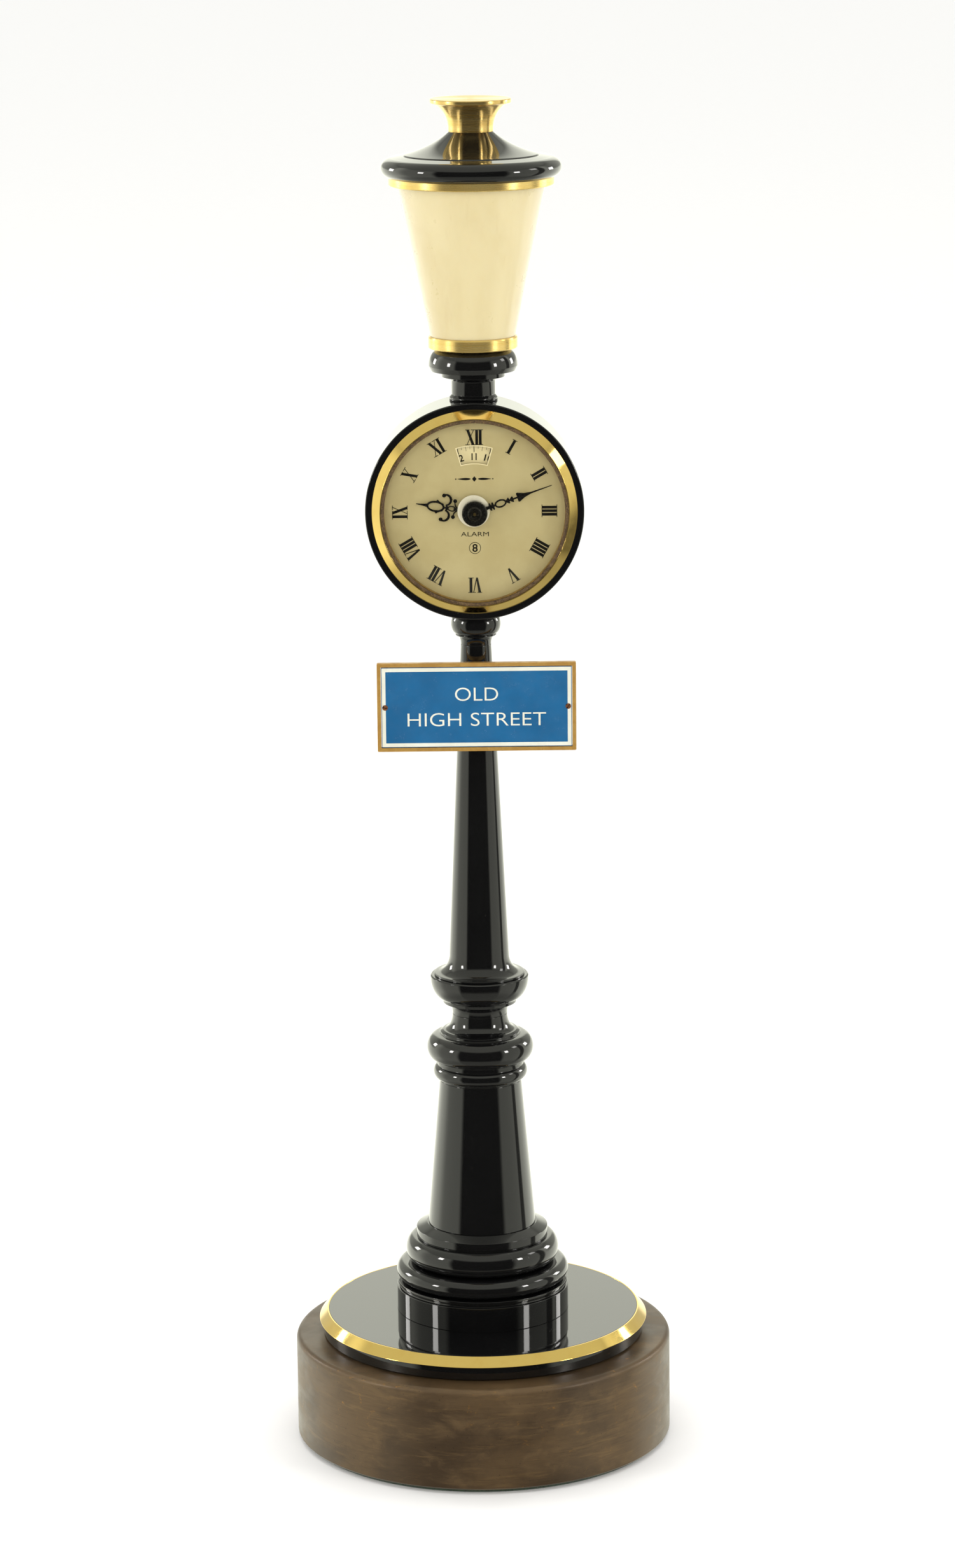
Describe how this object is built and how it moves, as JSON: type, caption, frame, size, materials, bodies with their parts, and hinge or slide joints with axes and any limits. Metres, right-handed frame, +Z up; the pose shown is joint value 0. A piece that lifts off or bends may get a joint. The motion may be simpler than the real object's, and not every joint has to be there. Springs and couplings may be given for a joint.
{
  "type": "street clock",
  "caption": "Table clock shaped as a street lamp post: round alarm clock with glazed dial on a turned black post, name plate, cream lantern and bronze plinth.",
  "frame": {"origin": "centre of the underside of the felt pad, on the post's axis", "axes": "+Z up the post, dial facing -Y, +X to the dial's right as seen from the front"},
  "size_m": [0.0842, 0.0842, 0.3],
  "materials": {
    "felt": "wool felt",
    "bronze": "brown patinated bronze, brushed and waxed",
    "black_lacquer": "deep gloss black lacquer",
    "gilt": "polished and lacquered gilt",
    "shade_enamel": "smooth cream enamel",
    "sign_enamel": "blue enamel with an off-white border",
    "sign_brass": "aged satin brass",
    "aged_screw": "rusty slotted screw heads",
    "steel": "turned steel",
    "blued_steel": "heat-blued steel",
    "crystal_glass": "clear domed crystal",
    "gasket": "aged brown seating ring",
    "dial_paint": "matt cream dial paint",
    "flange_brass": "satin brass",
    "movement_brass": "brushed movement brass",
    "hand_black": "black painted steel",
    "alarm_enamel": "matt cream paint",
    "knob_brass": "polished brass"
  },
  "bodies": {
    "stand": {"felt_pad": "felt", "plinth": "bronze", "base_disc": "black_lacquer", "base_ring": "gilt", "pedestal": "black_lacquer", "lower_shaft": "black_lacquer", "knop": "black_lacquer", "upper_collar": "black_lacquer", "upper_shaft": "black_lacquer", "top_collar": "black_lacquer", "tie_rod": "steel", "rod_nuts": "steel", "sign_bracket": "black_lacquer", "sign_frame": "sign_brass", "sign_plate": "sign_enamel", "sign_screws": "aged_screw", "case_drum": "black_lacquer", "bezel": "gilt", "crystal_gasket": "gasket", "crystal": "crystal_glass", "dial_flange": "flange_brass", "dial": "dial_paint", "front_plate": "movement_brass", "back_plate": "movement_brass", "pillars": "movement_brass", "movement_screws": "blued_steel", "back_cover": "black_lacquer", "hairspring": "blued_steel", "balance_cock": "movement_brass", "lantern_cup": "black_lacquer", "shade_rings": "gilt", "shade": "shade_enamel", "roof": "black_lacquer", "finial": "gilt", "lantern_rod": "steel"},
    "minute_arbor": {"centre_wheel": "movement_brass", "cannon_pinion": "steel", "minute_hand": "hand_black", "hand_nut": "hand_black", "time_setting_knob": "knob_brass"},
    "hour_arbor": {"hour_wheel": "movement_brass", "hour_hand": "hand_black"},
    "minute_wheel": {"minute_wheel": "movement_brass"},
    "intermediate": {"intermediate_wheel": "movement_brass"},
    "time_barrel": {"time_barrel": "movement_brass"},
    "third": {"third_wheel": "movement_brass"},
    "fourth": {"fourth_wheel": "movement_brass"},
    "escape": {"escape_wheel": "movement_brass"},
    "time_winding": {"time_winding_arbor": "steel", "time_winding_key": "knob_brass"},
    "alarm_barrel": {"alarm_barrel": "movement_brass"},
    "strike": {"strike_wheel": "movement_brass"},
    "alarm_winding": {"alarm_winding_arbor": "steel", "alarm_winding_key": "knob_brass"},
    "alarm_disc": {"alarm_disc": "alarm_enamel"},
    "alarm_setting": {"alarm_setting_knob": "knob_brass"},
    "pallet_lever": {"pallet_lever": "steel"},
    "balance": {"balance_wheel": "movement_brass"},
    "hammer": {"hammer": "steel"},
    "stop_button": {"stop_button": "knob_brass"}
  },
  "joints": [
    {"name": "hands_turn", "type": "hinge", "parent": "stand", "child": "minute_arbor", "pos_m": [0, 0, 0.21178], "axis": [0, 1, 0], "continuous": true},
    {"name": "hour_turn", "type": "hinge", "parent": "stand", "child": "hour_arbor", "pos_m": [0, 0, 0.21178], "axis": [0, 1, 0], "continuous": true},
    {"name": "minute_wheel_turn", "type": "hinge", "parent": "stand", "child": "minute_wheel", "pos_m": [0.0048, 0, 0.21178], "axis": [0, 1, 0], "continuous": true},
    {"name": "intermediate_turn", "type": "hinge", "parent": "stand", "child": "intermediate", "pos_m": [-0.00472, 0, 0.2144], "axis": [0, 1, 0], "continuous": true},
    {"name": "time_barrel_turn", "type": "hinge", "parent": "stand", "child": "time_barrel", "pos_m": [-0.0095, 0, 0.20678], "axis": [0, 1, 0], "continuous": true},
    {"name": "third_turn", "type": "hinge", "parent": "stand", "child": "third", "pos_m": [0, 0, 0.21718], "axis": [0, 1, 0], "continuous": true},
    {"name": "fourth_turn", "type": "hinge", "parent": "stand", "child": "fourth", "pos_m": [0.00442, 0, 0.21973], "axis": [0, 1, 0], "continuous": true},
    {"name": "escape_turn", "type": "hinge", "parent": "stand", "child": "escape", "pos_m": [0.00322, 0, 0.22419], "axis": [0, 1, 0], "continuous": true},
    {"name": "time_winding", "type": "hinge", "parent": "stand", "child": "time_winding", "pos_m": [-0.0095, 0, 0.20678], "axis": [0, 1, 0], "continuous": true},
    {"name": "alarm_barrel_turn", "type": "hinge", "parent": "stand", "child": "alarm_barrel", "pos_m": [0.0095, 0, 0.20678], "axis": [0, 1, 0], "continuous": true},
    {"name": "strike_turn", "type": "hinge", "parent": "stand", "child": "strike", "pos_m": [0.00794, 0, 0.21564], "axis": [0, 1, 0], "continuous": true},
    {"name": "alarm_winding", "type": "hinge", "parent": "stand", "child": "alarm_winding", "pos_m": [0.0095, 0, 0.20678], "axis": [0, 1, 0], "continuous": true},
    {"name": "alarm_disc_turn", "type": "hinge", "parent": "stand", "child": "alarm_disc", "pos_m": [0, 0, 0.21178], "axis": [0, 1, 0], "continuous": true},
    {"name": "alarm_setting", "type": "hinge", "parent": "stand", "child": "alarm_setting", "pos_m": [0, 0, 0.20338], "axis": [0, 1, 0], "continuous": true},
    {"name": "pallet_rock", "type": "hinge", "parent": "stand", "child": "pallet_lever", "pos_m": [0.00006, 0, 0.22368], "axis": [0, 1, 0], "range_deg": [-5, 5]},
    {"name": "balance_swing", "type": "hinge", "parent": "stand", "child": "balance", "pos_m": [-0.0055, 0, 0.22278], "axis": [0, 1, 0], "range_deg": [-220, 220]},
    {"name": "hammer_swing", "type": "hinge", "parent": "stand", "child": "hammer", "pos_m": [0.017, 0, 0.21578], "axis": [0, 1, 0], "range_deg": [-8, 8]},
    {"name": "stop_press", "type": "slide", "parent": "stand", "child": "stop_button", "axis": [0, -1, 0], "range_m": [0, 0.0016]}
  ],
  "couplings": [
    {"joint": "hour_turn", "follows": "hands_turn", "ratio": 0.083333},
    {"joint": "minute_wheel_turn", "follows": "hands_turn", "ratio": -0.33333},
    {"joint": "intermediate_turn", "follows": "hands_turn", "ratio": -0.2},
    {"joint": "time_barrel_turn", "follows": "hands_turn", "ratio": 0.025},
    {"joint": "third_turn", "follows": "hands_turn", "ratio": -8},
    {"joint": "fourth_turn", "follows": "hands_turn", "ratio": 60},
    {"joint": "escape_turn", "follows": "hands_turn", "ratio": -600},
    {"joint": "strike_turn", "follows": "alarm_barrel_turn", "ratio": -8},
    {"joint": "alarm_setting", "follows": "alarm_disc_turn", "ratio": -6}
  ]
}
